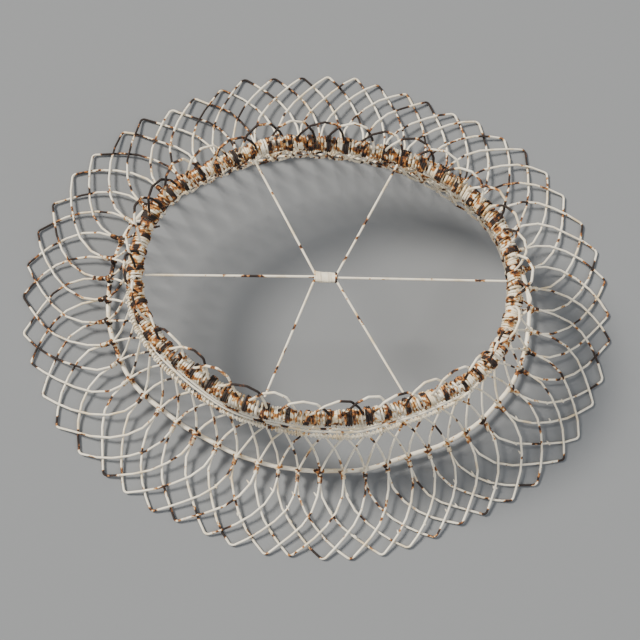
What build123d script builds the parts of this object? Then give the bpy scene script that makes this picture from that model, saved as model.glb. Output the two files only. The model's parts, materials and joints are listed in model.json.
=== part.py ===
"""Oval wirework frame: looped skirt, lattice wall, bound rim, gallery of arches and six-arm spokes.

Row frame in millimetres: +Z up, the object lies on its skirt, the origin is the centre of its base.
Every level is an offset of one four-centre oval. A point is given by its station (arc length along the
support ring, clockwise seen from above, from the left end), its outward offset and its height.
"""
import os
from math import atan2, cos, pi, radians, sin

from build123d import *

# Support ring oval
HALF_LENGTH = 200.0
HALF_WIDTH = 158.0
END_RADIUS = 135.0

# Heights and outward offsets of the levels
RING_Z = 8.0
TIP_OFFSET = 79.5
TIP_Z = 1.05
FULL_REACH = 84.0
SKIRT_INNER = 9.0
ROW_CROSSING = 3.36
LOWER_ROW = (-23.2, 62.0)
PLAIN_ROWS = [(-25.8, 72.0), (-27.0, 79.0)]
UPPER_ROW = (-28.4, 88.0)
RIM = (-31.2, 102.4)

# Wire radii
LOOP_R = 1.0
RING_R = 2.0
ROW_R = 1.2
ROW_TURN_R = 0.7
RIM_WIRE_R = 2.0
COIL_R = 1.0
COIL_MAJOR = 5.75
ARCH_R = 1.1
SPOKE_R = 1.0
TIE_R = 0.55
GAP = 0.1

# Counts
LOOPS = 56
ARCHES = 36
LOOPS_PER_NODE = 2
ARCHES_PER_NODE = 4

# Loops that were pushed inwards or stand further out, by how many millimetres
BENT_LOOPS = {4: -2.5, 9: -5.0, 12: 3.0, 19: -3.5, 20: -5.0, 37: -3.5, 38: -5.0, 39: -2.5}

# Gallery arches: span between the feet and height of the crown over the rim's centre, height at which
# an arch leaves the coil, side step of a leg at a crossing, and each foot's inset and height in the coil
ARCH_SPAN = 41.0
ARCH_HEIGHT = 27.0
ARCH_START = 4.2
ARCH_LAYER = 1.42
FOOT_INSET = 1.9
FOOT_RISE = 2.8

# Derived oval geometry
_RISE = HALF_WIDTH - END_RADIUS
END_CENTRE = HALF_LENGTH - END_RADIUS
SIDE_CENTRE = (END_CENTRE**2 - _RISE**2) / (2 * _RISE)
SIDE_RADIUS = HALF_WIDTH + SIDE_CENTRE
JOIN_ANGLE = atan2(SIDE_CENTRE, END_CENTRE)
END_ARC = 2 * JOIN_ANGLE * END_RADIUS
SIDE_ARC = (pi - 2 * JOIN_ANGLE) * SIDE_RADIUS
PERIMETER = 2 * (END_ARC + SIDE_ARC)
PITCH = PERIMETER / LOOPS
LAYER = LOOP_R + 0.2


def arc_at(station):
    """Centre, radius and direction angle of the oval's arc at a station."""
    s = (station + END_ARC / 2) % PERIMETER
    if s < END_ARC:
        return (-END_CENTRE, 0.0), END_RADIUS, pi + JOIN_ANGLE - s / END_RADIUS
    s -= END_ARC
    if s < SIDE_ARC:
        return (0.0, -SIDE_CENTRE), SIDE_RADIUS, pi - JOIN_ANGLE - s / SIDE_RADIUS
    s -= SIDE_ARC
    if s < END_ARC:
        return (END_CENTRE, 0.0), END_RADIUS, JOIN_ANGLE - s / END_RADIUS
    s -= END_ARC
    return (0.0, SIDE_CENTRE), SIDE_RADIUS, -JOIN_ANGLE - s / SIDE_RADIUS


def place(station, offset, z):
    """Point at a station, an outward offset and a height."""
    centre, radius, angle = arc_at(station)
    reach = radius + offset
    return Vector(centre[0] + reach * cos(angle), centre[1] + reach * sin(angle), z)


def outward(station):
    """Unit vector pointing away from the oval."""
    angle = arc_at(station)[2]
    return Vector(cos(angle), sin(angle), 0)


def along(station):
    """Unit vector along the oval, clockwise seen from above."""
    angle = arc_at(station)[2]
    return Vector(sin(angle), -cos(angle), 0)


def oval_ring(offset, z, radius):
    """Round wire ring on the oval at one offset and height."""
    end = END_RADIUS + offset
    side = SIDE_RADIUS + offset
    turn = JOIN_ANGLE * 180 / pi
    path = Wire([
        Edge.make_circle(end, Plane((END_CENTRE, 0, z)), -turn, turn),
        Edge.make_circle(side, Plane((0, -SIDE_CENTRE, z)), turn, 180 - turn),
        Edge.make_circle(end, Plane((-END_CENTRE, 0, z)), 180 - turn, 180 + turn),
        Edge.make_circle(side, Plane((0, SIDE_CENTRE, z)), 180 + turn, 360 - turn),
    ])
    start = path @ 0
    profile = Plane(origin=start, z_dir=path % 0) * Circle(radius)
    return sweep(profile, path=path)


def round_wire(points, bend, radius):
    """Wire through points with every corner rounded to one bend radius."""
    path = FilletPolyline(*points, radius=bend)
    profile = Plane(origin=path @ 0, z_dir=path % 0) * Circle(radius)
    return sweep(profile, path=path)


def turn_ring(station, offset, z, major, minor, lean=0.0):
    """One closed turn of wire round an oval wire at a station."""
    axis = along(station).rotate(Axis(origin=(0, 0, 0), direction=outward(station)), lean)
    return Plane(origin=place(station, offset, z), z_dir=axis) * Torus(major, minor)


def taper_tie(near, near_r, far, far_r, side, wire_r):
    """Closed tie round two circles in the plane of near-to-far and side."""
    step = far - near
    length = step.length
    x_dir = step.normalized()
    plane = Plane(origin=near, x_dir=x_dir, z_dir=x_dir.cross(side))
    tilt = atan2(near_r - far_r, (length**2 - (near_r - far_r) ** 2) ** 0.5)
    open_angle = 90 - tilt * 180 / pi
    near_arc = Edge.make_circle(near_r, Plane.XY, open_angle, 360 - open_angle)
    far_arc = Edge.make_circle(far_r, Plane((length, 0, 0)), -open_angle, open_angle)
    path = Wire([
        near_arc,
        Edge.make_line(near_arc @ 1, far_arc @ 0),
        far_arc,
        Edge.make_line(far_arc @ 1, near_arc @ 0),
    ])
    profile = Plane(origin=path @ 0, z_dir=path % 0) * Circle(wire_r)
    return plane * sweep(profile, path=path)


def tip_reach(loop):
    """Outward reach of a loop's tip, with the hand-made variation."""
    return TIP_OFFSET + 1.2 * sin(1.7 * loop) + 0.8 * sin(0.61 * loop) + BENT_LOOPS.get(loop, 0.0)


def tip_drift(loop):
    """Sideways drift of a loop's tip, in pitches."""
    return 0.08 + 0.16 * cos(2 * pi * (loop - 12) / LOOPS) + 0.07 * sin(2.9 * loop)


def loop_station(loop):
    """Station of a loop's centre; loops are numbered clockwise from the left end."""
    return (loop - 1.5) * PITCH


def skirt_point(loop, side, v, layer):
    """Point on a loop's leg over the skirt: v runs from 0 at the tip to 1 beside the ring."""
    reach = tip_reach(loop)
    pitches = side * 2 * sin(pi * v / 2) + tip_drift(loop) * (1 - v) ** 2
    offset = reach + (SKIRT_INNER - reach) * v
    climb = (FULL_REACH - offset) / (FULL_REACH - SKIRT_INNER)
    z = TIP_Z + (RING_Z + 2.4 - TIP_Z) * climb + layer * LAYER
    return place(loop_station(loop) + pitches * PITCH, offset, z)


def wall_point(loop, side, pitches, offset, z, layer, rise=28):
    """Point on a loop's leg on the wall; its layer lies along a normal that rises by so many degrees."""
    lean = radians(rise)
    out = offset + layer * LAYER * cos(lean)
    return place(loop_station(loop) + side * pitches * PITCH, out, z + layer * LAYER * sin(lean))


def leg_points(loop, side):
    """Centre line of one leg from beside the tip to its end inside the rim coil."""
    skirt = -side
    wall = side
    legs_behind = 6.2
    points = [skirt_point(loop, side, v, skirt) for v in (0.13, 0.26, 0.42, 0.6, 0.8, 0.97)]
    points.append(wall_point(loop, side, 2.0, 1.2, RING_Z + 5.4, skirt, 62))
    points.append(wall_point(loop, side, 2.22, -8.5, 26.0, 0))
    points.append(wall_point(loop, side, 2.5, -16.2, 38.0, wall))
    points.append(wall_point(loop, side, 2.93, -24.0, 51.0, wall))
    points.append(wall_point(loop, side, ROW_CROSSING, LOWER_ROW[0] - legs_behind, LOWER_ROW[1], wall, 18))
    points.append(wall_point(loop, side, 3.86, UPPER_ROW[0] - legs_behind, UPPER_ROW[1], wall, 10))
    points.append(wall_point(loop, side, 4.0, RIM[0] - 2.5, RIM[1] - 5.0, wall, 0))
    points.append(wall_point(loop, side, 4.0, RIM[0] - 2.5, RIM[1] + 0.6, wall, 0))
    return points


def skirt_loop(loop):
    """One skirt loop: left leg, tip and right leg in one wire."""
    left = leg_points(loop, -1)
    right = leg_points(loop, 1)
    tip = skirt_point(loop, 0, 0.0, 0)
    return round_wire(left[::-1] + [tip] + right, 4.2, LOOP_R)


def leg_stations():
    """Stations where pairs of legs enter the rim coil."""
    return [(k - 1.5) * PITCH for k in range(1, LOOPS + 1)]


def arch_centre(index):
    """Station of an arch's middle."""
    return (index + 0.5) * PERIMETER / ARCHES


def arch_feet():
    """Stations of all arch feet."""
    half = ARCH_SPAN / 2 * PERIMETER / (PERIMETER + 2 * pi * RIM[0])
    feet = []
    for index in range(ARCHES):
        feet.append(arch_centre(index) - half)
        feet.append(arch_centre(index) + half)
    return feet


def arch_lean(station):
    """Outward lean of an arch's crown: out over the top and sides, in over the near side."""
    facing = outward(station).Y
    near = min(1.0, max(0.0, (-facing - 0.2) / 0.5))
    return 9.5 - 18.0 * near


def arch_layer(index):
    """Layer of an arch's right leg at the next arch: in front unless the next leans further out."""
    here = arch_lean(arch_centre(index))
    after = arch_lean(arch_centre(index + 1))
    return 1 if here >= after else -1


def gallery_arch(index):
    """One small arch with both feet inside the rim coil and its legs in two layers."""
    left_layer = -arch_layer(index - 1)
    right_layer = arch_layer(index)
    centre = arch_centre(index)
    half = ARCH_SPAN / 2 * PERIMETER / (PERIMETER + 2 * pi * RIM[0])
    lean = arch_lean(centre)
    height = ARCH_HEIGHT + 1.5 * sin(2.3 * index)
    shift = 1.5 * sin(1.9 * index)
    foot_offset = RIM[0] - FOOT_INSET

    def point(across, up, layer):
        rise = (height - ARCH_START) * up
        bulge = lean * (rise / (ARCH_HEIGHT - ARCH_START)) ** 2
        offset = foot_offset + FOOT_INSET * min(1.0, 3 * up) + bulge + layer * ARCH_LAYER
        return place(centre + across * half + shift * up, offset, RIM[1] + ARCH_START + rise)

    feet = [place(centre + side * half, foot_offset, RIM[1] + FOOT_RISE) for side in (-1, 1)]
    points = [
        feet[0],
        point(-1.0, 0.22, 0),
        point(-0.86, 0.52, left_layer),
        point(-0.52, 0.88, left_layer),
        point(0.0, 1.0, 0),
        point(0.52, 0.88, right_layer),
        point(0.86, 0.52, right_layer),
        point(1.0, 0.22, 0),
        feet[1],
    ]
    return round_wire(points, 4.0, ARCH_R)


def clear_of(station, others, gap):
    """True when a station is further than a gap from every other station round the oval."""
    for other in others:
        away = abs((station - other + PERIMETER / 2) % PERIMETER - PERIMETER / 2)
        if away < gap:
            return False
    return True


def scale_at(station, offset):
    """Length at an offset for a unit of station."""
    radius = arc_at(station)[1]
    return (radius + offset) / radius


def rim_coil():
    """Turns of the rim coil, left out where a leg or a foot goes in and where a spoke is turned round."""
    entries = leg_stations() + arch_feet()
    turns = []
    for k in range(LOOPS * 7):
        station = (k + 0.5) * PERIMETER / (LOOPS * 7)
        gap = 2.3 / scale_at(station, RIM[0])
        if clear_of(station, entries, gap):
            turns.append(turn_ring(station, RIM[0], RIM[1], COIL_MAJOR, COIL_R))
    return turns


def tie_stations():
    """Stations of the ties on the lower wound row, where the front legs pass behind it."""
    return [station + ROW_CROSSING * PITCH for station in leg_stations()]


def row_turns(row, ties):
    """Turns of thin wire round a wound row, left out beside its ties."""
    turns = []
    for k in range(LOOPS * 5):
        station = k * PERIMETER / (LOOPS * 5)
        gap = 3.7 / scale_at(station, row[0])
        if clear_of(station, ties, gap):
            turns.append(turn_ring(station, row[0], row[1], ROW_R + ROW_TURN_R + GAP, ROW_TURN_R, 12))
    return turns


def row_tie(station, row):
    """Tie that holds a row to the front leg behind it."""
    core = place(station, row[0], row[1])
    leg = place(station, row[0] - 5.1, row[1] + 0.3)
    run = along(station) * 1.42 + Vector(0, 0, 0.9)
    side = run.cross((leg - core).normalized()).normalized()
    return taper_tie(core, 2.2, leg, 2.15, side, TIE_R)


def ring_tie(station):
    """Tie round the support ring and the two legs that pass it."""
    ring = place(station, 0, RING_Z)
    legs = place(station, 4.2, RING_Z + 4.2)
    leg_run = (place(station, 9.0, RING_Z + 2.4) - place(station, 1.2, RING_Z + 5.4)).normalized()
    side = (along(station) + leg_run).normalized()
    return taper_tie(ring, 4.0, legs, 3.65, side, TIE_R)


def spokes():
    """Three spoke wires side by side at the hub."""
    spread = 2 * SPOKE_R + GAP
    bend = 9.5

    def spoke(left_end, right_end, aside, bend_radius):
        path = [left_end, (-bend, aside), (bend, aside), right_end]
        return round_wire([(x, y, RIM[1]) for x, y in path], bend_radius, SPOKE_R)

    return [
        spoke((-160.0, -11.0), (160.5, 8.5), 0.0, 30),
        spoke((-72.0, 103.5), (57.0, 110.5), spread, 3),
        spoke((-48.0, -109.0), (74.0, -102.0), -spread, 3),
    ]


def hub_binding():
    """Close-wound turns round the three spoke wires."""
    turns = []
    for k in range(9):
        x = (k - 4) * 1.75
        centre = Vector(x, 0, RIM[1])
        reach = 2 * SPOKE_R + GAP
        near = centre - Vector(0, reach, 0)
        far = centre + Vector(0, reach, 0)
        turns.append(taper_tie(near, SPOKE_R + 0.95, far, SPOKE_R + 0.95, Vector(0, 0, 1), 0.8))
    return turns


def save(name, solids):
    """Write one node as a compound of separate solids."""
    export_step(Compound(label=name, children=list(solids)), f"parts/{name}.step")


os.makedirs("parts", exist_ok=True)
save("support_ring", [oval_ring(0, RING_Z, RING_R)])
save("lower_row_core", [oval_ring(LOWER_ROW[0], LOWER_ROW[1], ROW_R)])
save("upper_row_core", [oval_ring(UPPER_ROW[0], UPPER_ROW[1], ROW_R)])
for number, row in enumerate(PLAIN_ROWS, 1):
    save(f"plain_wire_{number}", [oval_ring(row[0], row[1], LOOP_R)])
save("rim_wire_lower", [oval_ring(RIM[0] + 1.75, RIM[1] - 2.06, RIM_WIRE_R)])
save("rim_wire_upper", [oval_ring(RIM[0] + 1.75, RIM[1] + 2.06, RIM_WIRE_R)])
save("rim_coil", rim_coil())
save("lower_row_winding", row_turns(LOWER_ROW, tie_stations()))
save("upper_row_winding", row_turns(UPPER_ROW, []))
for group in range(4):
    numbers = range(group * LOOPS // 4 + 1, (group + 1) * LOOPS // 4 + 1)
    save(f"ring_ties_{group + 1}", [ring_tie(loop_station(k)) for k in numbers])
    save(f"lower_row_ties_{group + 1}", [row_tie(tie_stations()[k - 1], LOWER_ROW) for k in numbers])
for number, wire in enumerate(spokes(), 1):
    save(f"spoke_wire_{number}", [wire])
save("hub_binding", hub_binding())
for first in range(1, LOOPS + 1, LOOPS_PER_NODE):
    save(f"skirt_loops_{first:02d}", [skirt_loop(k) for k in range(first, first + LOOPS_PER_NODE)])
for first in range(0, ARCHES, ARCHES_PER_NODE):
    save(f"gallery_arches_{first + 1:02d}", [gallery_arch(k) for k in range(first, first + ARCHES_PER_NODE)])
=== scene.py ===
import json
import random
from math import atan2, cos, pi, radians, sin

import bpy
import numpy as np
from mathutils import Matrix, Vector


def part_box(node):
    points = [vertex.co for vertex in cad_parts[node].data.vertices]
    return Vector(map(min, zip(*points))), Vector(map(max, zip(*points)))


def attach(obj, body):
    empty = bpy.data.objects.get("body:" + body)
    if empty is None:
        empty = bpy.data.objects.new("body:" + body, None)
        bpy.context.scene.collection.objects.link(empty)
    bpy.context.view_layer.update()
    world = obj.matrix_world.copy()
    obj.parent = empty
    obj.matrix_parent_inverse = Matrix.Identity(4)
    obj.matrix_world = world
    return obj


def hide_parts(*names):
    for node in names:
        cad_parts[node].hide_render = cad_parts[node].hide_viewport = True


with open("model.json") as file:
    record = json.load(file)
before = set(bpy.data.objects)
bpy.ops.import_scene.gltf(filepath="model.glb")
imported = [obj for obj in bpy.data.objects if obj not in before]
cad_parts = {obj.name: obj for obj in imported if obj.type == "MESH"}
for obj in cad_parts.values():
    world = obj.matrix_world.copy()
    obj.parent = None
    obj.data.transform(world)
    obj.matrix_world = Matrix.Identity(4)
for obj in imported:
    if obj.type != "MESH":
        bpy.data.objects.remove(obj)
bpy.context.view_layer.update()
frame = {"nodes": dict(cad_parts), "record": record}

MM = 0.001
rng = random.Random(56)

# ---------------------------------------------------------------- oval frame of the levels, in metres
LOOPS = 56
END_RADIUS = 135.0 * MM
RING_LOW, RING_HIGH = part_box("support_ring")
RING_R = (RING_HIGH[2] - RING_LOW[2]) / 2
RING_Z = (RING_HIGH[2] + RING_LOW[2]) / 2
HALF_LENGTH = (RING_HIGH[0] - RING_LOW[0]) / 2 - RING_R
HALF_WIDTH = (RING_HIGH[1] - RING_LOW[1]) / 2 - RING_R
RISE = HALF_WIDTH - END_RADIUS
END_CENTRE = HALF_LENGTH - END_RADIUS
SIDE_CENTRE = (END_CENTRE**2 - RISE**2) / (2 * RISE)
SIDE_RADIUS = HALF_WIDTH + SIDE_CENTRE
JOIN = atan2(SIDE_CENTRE, END_CENTRE)
END_ARC = 2 * JOIN * END_RADIUS
SIDE_ARC = (pi - 2 * JOIN) * SIDE_RADIUS
PERIMETER = 2 * (END_ARC + SIDE_ARC)
PITCH = PERIMETER / LOOPS


def arc_at(station):
    """Centre, radius and direction angle of the oval at a station, clockwise from the left end."""
    s = (station + END_ARC / 2) % PERIMETER
    if s < END_ARC:
        return (-END_CENTRE, 0.0), END_RADIUS, pi + JOIN - s / END_RADIUS
    s -= END_ARC
    if s < SIDE_ARC:
        return (0.0, -SIDE_CENTRE), SIDE_RADIUS, pi - JOIN - s / SIDE_RADIUS
    s -= SIDE_ARC
    if s < END_ARC:
        return (END_CENTRE, 0.0), END_RADIUS, JOIN - s / END_RADIUS
    s -= END_ARC
    return (0.0, SIDE_CENTRE), SIDE_RADIUS, -JOIN - s / SIDE_RADIUS


def place(station, offset, z):
    centre, radius, angle = arc_at(station)
    reach = radius + offset
    return Vector((centre[0] + reach * cos(angle), centre[1] + reach * sin(angle), z))


def along(station):
    angle = arc_at(station)[2]
    return Vector((sin(angle), -cos(angle), 0.0))


def level(node):
    """Offset from the support ring's oval and height of an oval wire."""
    low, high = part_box(node)
    radius = (high[2] - low[2]) / 2
    return (high[0] - low[0]) / 2 - radius - HALF_LENGTH, (high[2] + low[2]) / 2


def loop_station(k):
    return (k - 1.5) * PITCH


# ---------------------------------------------------------------- mesh builders
def tube_data(points, radius, sides, closed=False):
    """Vertices and faces of a round tube; radius is a number or one per point."""
    count = len(points)
    radii = radius if isinstance(radius, (list, tuple)) else [radius] * count
    verts = []
    faces = []
    normal = None
    for i, p in enumerate(points):
        before = points[i - 1] if i or closed else p
        after = points[(i + 1) % count] if i < count - 1 or closed else p
        tangent = (after - before).normalized()
        if normal is None:
            normal = tangent.orthogonal().normalized()
        normal = (normal - tangent * normal.dot(tangent)).normalized()
        side = tangent.cross(normal)
        for j in range(sides):
            a = 2 * pi * j / sides
            verts.append(p + (normal * cos(a) + side * sin(a)) * radii[i])
    for i in range(count if closed else count - 1):
        a = i * sides
        b = (i + 1) % count * sides
        for j in range(sides):
            k = (j + 1) % sides
            faces.append((a + j, a + k, b + k, b + j))
    if not closed:
        faces.append(tuple(reversed(range(sides))))
        faces.append(tuple(range((count - 1) * sides, count * sides)))
    return verts, faces


PIECES = []


def make_piece(name, tubes, material, replaced=()):
    """One mesh piece of the object from a list of tubes."""
    verts = []
    faces = []
    for tube_verts, tube_faces in tubes:
        base = len(verts)
        verts.extend(tube_verts)
        faces.extend(tuple(base + v for v in face) for face in tube_faces)
    mesh = bpy.data.meshes.new(name)
    mesh.from_pydata([tuple(v) for v in verts], [], faces)
    mesh.polygons.foreach_set("use_smooth", [True] * len(mesh.polygons))
    mesh.materials.append(material)
    obj = bpy.data.objects.new(name, mesh)
    bpy.context.scene.collection.objects.link(obj)
    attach(obj, "root")
    if replaced:
        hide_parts(*replaced)
    PIECES.append(obj)


# ---------------------------------------------------------------- materials
CREAM = (0.90, 0.83, 0.68)
CREAM_OLD = (0.76, 0.61, 0.38)
TAN = (0.62, 0.39, 0.15)
ORANGE = (0.37, 0.14, 0.032)
BROWN = (0.11, 0.040, 0.018)
IRON = (0.022, 0.014, 0.011)
# start and width of each tone of rust, as shares of the rusty fringe
FRINGE = (
    (0.0, 0.10, TAN),
    (0.16, 0.20, ORANGE),
    (0.50, 0.22, BROWN),
    (0.78, 0.22, IRON),
)
# the loop tips stand on the ground, so their paint wears more below these heights
TIP_WEAR_TOP = 4.5 * MM
TIP_WEAR_FULL = 2.0 * MM


class Tree:
    """Small helper for node trees."""

    def __init__(self, material):
        material.use_nodes = True
        self.nodes = material.node_tree.nodes
        self.links = material.node_tree.links
        self.nodes.clear()

    def add(self, kind, **values):
        node = self.nodes.new(kind)
        for key, value in values.items():
            setattr(node, key, value)
        return node

    def link(self, a, b):
        self.links.new(a, b)

    def noise(self, coords, scale, detail=3.0, roughness=0.55):
        node = self.add("ShaderNodeTexNoise")
        node.inputs["Scale"].default_value = scale
        node.inputs["Detail"].default_value = detail
        node.inputs["Roughness"].default_value = roughness
        self.link(coords, node.inputs["Vector"])
        return node.outputs["Fac"]

    def step(self, value, low, high):
        node = self.add("ShaderNodeMapRange", interpolation_type="SMOOTHSTEP")
        node.inputs["From Min"].default_value = low
        node.inputs["From Max"].default_value = high
        self.link(value, node.inputs["Value"])
        return node.outputs["Result"]

    def math(self, operation, a, b):
        node = self.add("ShaderNodeMath", operation=operation)
        for socket, value in zip(node.inputs, (a, b)):
            if isinstance(value, (int, float)):
                socket.default_value = value
            else:
                self.link(value, socket)
        return node.outputs[0]

    def blend(self, parts):
        """Weighted sum of values."""
        total = 0.0
        for value, weight in parts:
            total = self.math("ADD", self.math("MULTIPLY", value, weight), total)
        return total

    def mix(self, factor, a, b):
        node = self.add("ShaderNodeMix", data_type="RGBA")
        self.link(factor, node.inputs["Factor"])
        for socket, value in ((node.inputs[6], a), (node.inputs[7], b)):
            if isinstance(value, tuple):
                socket.default_value = (*value, 1.0)
            else:
                self.link(value, socket)
        return node.outputs[2]


def worn_paint(name, edge, spread, patch_scale=75.0, dirt=0.4):
    """Old cream paint that turns tan, orange, brown and bare black iron as the wear grows.
    edge is the wear at which the paint begins to go; spread is the width of the rusty fringe."""
    material = bpy.data.materials.new(name)
    tree = Tree(material)
    coords = tree.add("ShaderNodeTexCoord").outputs["Object"]
    patches = tree.noise(coords, patch_scale, 2.0, 0.5)
    broad = tree.noise(coords, 13.0, 2.0)
    fine = tree.noise(coords, 520.0, 3.0, 0.6)
    axes = tree.add("ShaderNodeSeparateXYZ")
    tree.link(coords, axes.inputs["Vector"])
    tips = tree.step(axes.outputs["Z"], TIP_WEAR_TOP, TIP_WEAR_FULL)
    weather = [(axes.outputs["X"], -0.07), (axes.outputs["Y"], 0.09), (tips, 0.05)]
    wear = tree.blend([(patches, 0.66), (broad, 0.22), (fine, 0.12)] + weather)
    stain = tree.step(tree.noise(coords, 48.0, 4.0, 0.6), 0.56 - 0.25 * dirt, 0.72)
    colour = tree.mix(stain, CREAM, CREAM_OLD)
    for at, width, tone in FRINGE:
        low = edge + at * spread
        colour = tree.mix(tree.step(wear, low, low + width * spread), colour, tone)
    worn = tree.step(wear, edge, edge + 0.4 * spread)
    shader = tree.add("ShaderNodeBsdfPrincipled")
    tree.link(colour, shader.inputs["Base Color"])
    roughness = tree.add("ShaderNodeMapRange")
    roughness.inputs["To Min"].default_value = 0.34
    roughness.inputs["To Max"].default_value = 0.85
    tree.link(worn, roughness.inputs["Value"])
    tree.link(roughness.outputs["Result"], shader.inputs["Roughness"])
    bump = tree.add("ShaderNodeBump")
    bump.inputs["Strength"].default_value = 0.7
    bump.inputs["Distance"].default_value = 0.0004
    tree.link(tree.blend([(fine, 0.6), (worn, -0.5)]), bump.inputs["Height"])
    tree.link(bump.outputs["Normal"], shader.inputs["Normal"])
    output = tree.add("ShaderNodeOutputMaterial")
    tree.link(shader.outputs["BSDF"], output.inputs["Surface"])
    return material


PAINTED = worn_paint("painted_wire_finish", edge=0.552, spread=0.042)
WORN = worn_paint("worn_wire_finish", edge=0.570, spread=0.075, dirt=0.6)
DARK = worn_paint("rusty_wire_finish", edge=0.490, spread=0.045, patch_scale=62.0, dirt=0.6)
COIL = worn_paint("rusty_coil_finish", edge=0.492, spread=0.130, patch_scale=120.0, dirt=0.8)
CLUMP = worn_paint("leg_end_finish", edge=0.405, spread=0.110, patch_scale=160.0, dirt=0.8)
BINDING = worn_paint("binding_finish", edge=0.445, spread=0.110, patch_scale=140.0, dirt=0.8)
SLEEVE = worn_paint("sleeve_finish", edge=0.590, spread=0.120, dirt=0.5)
FINISHES = {"painted_wire": PAINTED, "worn_wire": WORN, "rusty_wire": DARK, "rusty_coil": COIL}

SLOT_OF = {part["node"]: part["material_slot"] for part in frame["record"]["subparts"]}
for node_name, node in frame["nodes"].items():
    for slot in node.material_slots:
        slot.link = "OBJECT"
        slot.material = FINISHES[SLOT_OF[node_name]]


# ---------------------------------------------------------------- rim coil
RIM_LOW, RIM_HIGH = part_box("rim_coil")
RIM_Z = (RIM_LOW[2] + RIM_HIGH[2]) / 2
RIM_OUTER = (RIM_HIGH[2] - RIM_LOW[2]) / 2
RIM_OFFSET = (RIM_HIGH[0] - RIM_LOW[0]) / 2 - RIM_OUTER - HALF_LENGTH
# how far the coil's centre line lies inside the rim's outer line
COIL_INSET = 1.0 * MM
COIL_WIRE_R = 1.1 * MM
COIL_TURNS = 300
ROW_WIRE_R = 0.7 * MM
ROW_TURNS = 300


def wound(offset, z, major, minor, turns, steps, sides, wobble, seed):
    """Tube wound helically round an oval wire, closed on itself, with uneven pitch and tightness."""
    local = random.Random(seed)
    phases = [local.uniform(0, 2 * pi) for _ in range(4)]
    points = []
    count = turns * steps
    for i in range(count):
        t = i / count
        lap = 2 * pi * t
        uneven = sin(56 * lap + phases[0]) / 56 + 0.6 * sin(23 * lap + phases[1]) / 23
        station = (t + 0.045 * wobble * uneven) * PERIMETER
        angle = turns * lap
        loose = 0.05 * sin(37 * lap + phases[2]) + 0.03 * sin(91 * lap + phases[3])
        reach = major * (1 + wobble * loose)
        points.append(place(station, offset + reach * cos(angle), z + reach * sin(angle)))
    return tube_data(points, minor, sides, closed=True)


coil_tube = wound(RIM_OFFSET, RIM_Z, RIM_OUTER - COIL_INSET, COIL_WIRE_R, COIL_TURNS, 16, 8, 1.4, 3)
make_piece("rim_coil_wire", [coil_tube], COIL, ["rim_coil"])

# ---------------------------------------------------------------- wound rows
for row_name, seed in (("lower_row", 5), ("upper_row", 9)):
    row_offset, row_z = level(row_name + "_core")
    low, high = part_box(row_name + "_winding")
    major = (high[2] - low[2]) / 2 - ROW_WIRE_R
    tube = wound(row_offset, row_z, major, ROW_WIRE_R, ROW_TURNS, 10, 6, 0.8, seed)
    make_piece(row_name + "_wound_wire", [tube], WORN, [row_name + "_winding"])


# ---------------------------------------------------------------- bindings on the support ring
def lashing(centre, run, up, half_wide, half_deep, length, turns, wire_r, steps=12):
    """Helix of thin wire round a flat bundle that runs along run."""
    side = run.cross(up).normalized()
    points = []
    for i in range(turns * steps + 1):
        t = i / (turns * steps)
        a = 2 * pi * turns * t
        points.append(
            centre
            + run * (t - 0.5) * length
            + side * half_wide * cos(a)
            + up * half_deep * sin(a)
        )
    return tube_data(points, wire_r, 6)


# radii of the binding wires, and the length of a leg pair that one turn takes
LEG_TIE_R = 0.55 * MM
LEG_TIE_PITCH = 1.25 * MM
RING_TIE_R = 0.6 * MM


def ring_binding(k):
    """Close turns down the pair of legs and three looser ones round the ring."""
    station = loop_station(k)
    near = place(station, 9.0 * MM, RING_Z + 2.4 * MM)
    far = place(station, 1.2 * MM, RING_Z + 5.4 * MM)
    run = (near - far).normalized()
    up = run.cross(along(station)).normalized()
    if up.z < 0:
        up = -up
    turns = rng.choice((3, 4, 5, 6))
    length = turns * LEG_TIE_PITCH
    centre = far + run * (3.6 * MM + length / 2)
    legs = lashing(centre, run, up, 1.7 * MM, 2.75 * MM, length, turns, LEG_TIE_R)
    middle = (place(station, 0, RING_Z) + far) / 2 + up * 0.2 * MM
    tilt_up = (far - place(station, 0, RING_Z)).normalized()
    cross_run = (along(station) + run * 0.5).cross(tilt_up).normalized()
    ring = lashing(middle, cross_run, tilt_up, 3.4 * MM, 5.1 * MM, 3.4 * MM, 3, RING_TIE_R, 16)
    return [legs, ring]


tubes = []
for k in range(1, LOOPS + 1):
    tubes.extend(ring_binding(k))
make_piece("ring_bindings", tubes, BINDING, [f"ring_ties_{g}" for g in range(1, 5)])

# ---------------------------------------------------------------- ties on the lower wound row
# pitches from the start of a front leg to the place where it passes behind the lower row
ROW_CROSSING = 3.36
LEG_BEHIND_ROW = 5.1 * MM
ROW_TIE_R = 0.5 * MM
row_offset, row_z = level("lower_row_core")
tubes = []
for k in range(1, LOOPS + 1):
    station = loop_station(k) + ROW_CROSSING * PITCH
    core = place(station, row_offset, row_z)
    leg = place(station, row_offset - LEG_BEHIND_ROW, row_z + 0.3 * MM)
    reach = (core - leg).normalized()
    run = (along(station) * 1.42 + Vector((0, 0, 0.9))).normalized()
    tubes.append(lashing((core + leg) / 2, run, reach, 2.7 * MM, 5.0 * MM, 2.6 * MM, 2, ROW_TIE_R, 14))
make_piece("lower_row_bindings", tubes, WORN, [f"lower_row_ties_{g}" for g in range(1, 5)])

# ---------------------------------------------------------------- hub binding
HUB_LOW, HUB_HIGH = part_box("hub_binding")
HUB_Z = (HUB_LOW[2] + HUB_HIGH[2]) / 2
HUB_WIRE = 0.62 * MM
SLEEVE_HALF = 9.2 * MM
SLEEVE_TURNS = 15
SPOKE_LOW, SPOKE_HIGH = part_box("spoke_wire_1")
SPOKE_R = (SPOKE_HIGH[2] - SPOKE_LOW[2]) / 2


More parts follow.
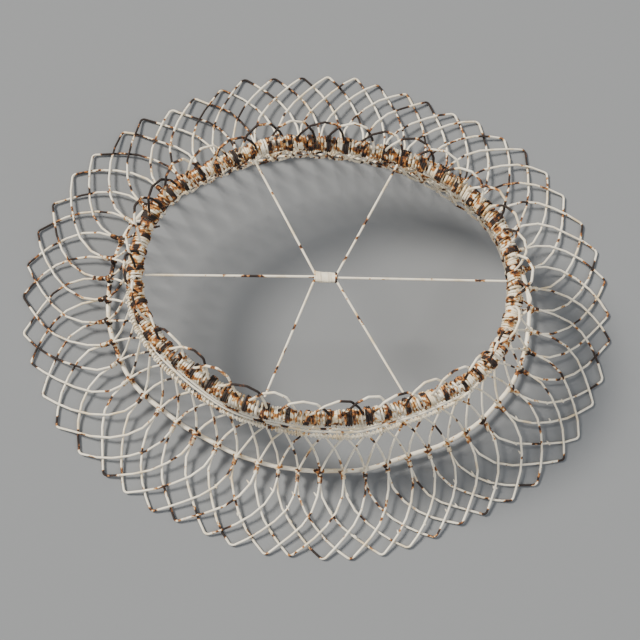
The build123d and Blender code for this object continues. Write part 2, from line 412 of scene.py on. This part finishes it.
def hub_turns(first, last, turns, swell):
    """Wire wound side by side round the three spoke wires, from one end of the sleeve to the other."""
    flat = 3.1 * SPOKE_R + HUB_WIRE + swell
    deep = SPOKE_R + HUB_WIRE + swell
    points = []
    for i in range(turns * 24 + 1):
        t = i / (turns * 24)
        a = 2 * pi * turns * t
        across = max(-1.0, min(1.0, 1.3 * cos(a))) * (1 + 0.04 * sin(3.1 * a))
        x = first + (last - first) * t + 0.12 * MM * sin(0.83 * a)
        points.append(Vector((x, flat * across, HUB_Z + deep * sin(a) * (1 + 0.05 * sin(1.7 * a)))))
    return tube_data(points, HUB_WIRE, 8)


sleeve = hub_turns(-SLEEVE_HALF, SLEEVE_HALF, SLEEVE_TURNS, 0.0)
make_piece("hub_binding_wire", [sleeve], SLEEVE, ["hub_binding"])
hub_ends = [hub_turns(-9.9 * MM, -8.6 * MM, 1, 0.2 * MM), hub_turns(8.6 * MM, 10.4 * MM, 2, 0.25 * MM)]
make_piece("hub_binding_ends", hub_ends, CLUMP)


# ---------------------------------------------------------------- leg ends twisted over the rim
LEG_R = 1.0 * MM
STUB_R = 0.9 * MM


def leg_end(k):
    """End of a leg, wound round the rim from its outer side in a dark clump."""
    station = loop_station(k) + rng.uniform(-1.5, 1.5) * MM
    reach = RIM_OUTER + 0.25 * MM
    start = radians(rng.uniform(-60, -20))
    turns = rng.choice((1.7, 2.2, 2.6, 3.2))
    advance = rng.uniform(1.9, 2.4) * MM
    count = int(turns * 16)
    points = []
    for i in range(count + 1):
        turned = i / 16
        a = start + 2 * pi * turned
        offset = RIM_OFFSET + reach * cos(a)
        points.append(place(station + advance * turned, offset, RIM_Z + reach * sin(a)))
    return tube_data(points, LEG_R, 8)


make_piece("leg_end_turns", [leg_end(k) for k in range(1, LOOPS + 1)], CLUMP)


def stub(share, inward, rise, curl):
    """Cut end of wire that sticks out of the rim's inner side."""
    station = share * PERIMETER
    points = []
    for i in range(9):
        t = i / 8
        offset = RIM_OFFSET - RIM_OUTER * 0.8 - inward * t
        points.append(place(station + curl * sin(1.4 * t) * t, offset, RIM_Z + rise * t * t))
    return tube_data(points, STUB_R, 8)


STUBS = [stub(0.041, 5.5 * MM, -1.0 * MM, 5.0 * MM), stub(0.130, 3.5 * MM, 0.0, 0.5 * MM)]
make_piece("cut_wire_ends", STUBS, CLUMP)

# ---------------------------------------------------------------- runs and lumps of paint
LOOP_NODES = [name for name in sorted(frame["nodes"]) if name.startswith("skirt_loops")]


def loop_vertices():
    parts = []
    for name in LOOP_NODES:
        mesh = frame["nodes"][name].data
        coords = np.empty(len(mesh.vertices) * 3)
        mesh.vertices.foreach_get("co", coords)
        world = np.array(frame["nodes"][name].matrix_world)
        parts.append(coords.reshape(-1, 3) @ world[:3, :3].T + world[:3, 3])
    return np.concatenate(parts)


WIRE_SKIN = loop_vertices()


def paint_drop(share, offset, z, size):
    """Run of paint, hung from the wire of the skirt that is closest to a place."""
    wanted = np.array(place(share * PERIMETER, offset, z))
    start = Vector(WIRE_SKIN[np.argmin(((WIRE_SKIN - wanted) ** 2).sum(axis=1))])
    lean = Vector((-0.6, 0.75, 0.25)) + Vector([rng.uniform(-0.3, 0.3) for _ in range(3)])
    points = [start + lean.normalized() * size * t for t in (-0.45, -0.2, 0.1, 0.5, 0.9, 1.2)]
    radii = [0.3 * MM, 0.9 * MM, 1.0 * MM, 0.75 * MM, 0.45 * MM, 0.2 * MM]
    return tube_data(points, radii, 8)


# the runs hang from the near side of the skirt; shares of the way round start at the left end
DROP_COUNT = 34
DROP_HEIGHT = 7 * MM
drops = []
for _ in range(DROP_COUNT):
    share = rng.uniform(0.54, 0.82)
    offset = rng.uniform(18, 66) * MM
    drops.append(paint_drop(share, offset, DROP_HEIGHT, rng.uniform(2.0, 3.6) * MM))
make_piece("paint_runs", drops, SLEEVE)


# ---------------------------------------------------------------- hand bending, the same for every piece
def bend_texture(name, size):
    texture = bpy.data.textures.new(name, "CLOUDS")
    texture.noise_scale = size
    texture.noise_depth = 1
    return texture


BENDS = (
    ("X", bend_texture("bend_along", 0.075), 0.0075),
    ("Y", bend_texture("bend_across", 0.062), 0.0075),
)


def hand_bent(obj):
    for axis, texture, strength in BENDS:
        bend = obj.modifiers.new("hand_bend_" + axis.lower(), "DISPLACE")
        bend.direction = axis
        bend.texture = texture
        bend.texture_coords = "GLOBAL"
        bend.mid_level = 0.5
        bend.strength = strength


for obj in list(frame["nodes"].values()) + PIECES:
    hand_bent(obj)

# ---------------------------------------------------------------- floor, light, camera
bpy.ops.mesh.primitive_plane_add(size=60.0, location=(0, 0, -0.0005))
floor = bpy.context.object
floor.name = "floor"
floor_material = bpy.data.materials.new("pale_floor")
floor_material.use_nodes = True
floor_shader = floor_material.node_tree.nodes["Principled BSDF"]
floor_shader.inputs["Base Color"].default_value = (0.205, 0.214, 0.223, 1.0)
floor_shader.inputs["Roughness"].default_value = 0.8
floor.data.materials.append(floor_material)

world = bpy.data.worlds.new("studio")
bpy.context.scene.world = world
world.use_nodes = True
world.node_tree.nodes["Background"].inputs["Color"].default_value = (0.90, 0.94, 1.0, 1.0)
world.node_tree.nodes["Background"].inputs["Strength"].default_value = 0.45


def soft_sun(name, direction_from, spread, strength, colour):
    """Even light from a direction; spread is the light's width in degrees."""
    data = bpy.data.lights.new(name, "SUN")
    data.energy = strength
    data.angle = radians(spread)
    data.color = colour
    obj = bpy.data.objects.new(name, data)
    bpy.context.scene.collection.objects.link(obj)
    obj.location = direction_from
    obj.rotation_euler = (-Vector(direction_from)).to_track_quat("-Z", "Y").to_euler()


soft_sun("key", (-1.6, 0.75, 1.7), 15.0, 5.6, (1.0, 0.945, 0.855))
soft_sun("fill", (1.3, -1.0, 1.8), 45.0, 0.9, (0.96, 0.98, 1.0))

camera_data = bpy.data.cameras.new("camera")
camera_data.lens = 78.75
camera_data.sensor_width = 36.0
camera = bpy.data.objects.new("camera", camera_data)
bpy.context.scene.collection.objects.link(camera)
bpy.context.scene.camera = camera
eye = Vector((-0.0566, -0.3612, 1.2822))
target = Vector((0.0004, -0.0122, 0.0))
forward = (target - eye).normalized()
right = forward.cross(Vector((-0.0588, 0.998, 0.0))).normalized()
upward = right.cross(forward)
rotation = Matrix((right, upward, -forward)).transposed()
camera.matrix_world = Matrix.Translation(eye) @ rotation.to_4x4()
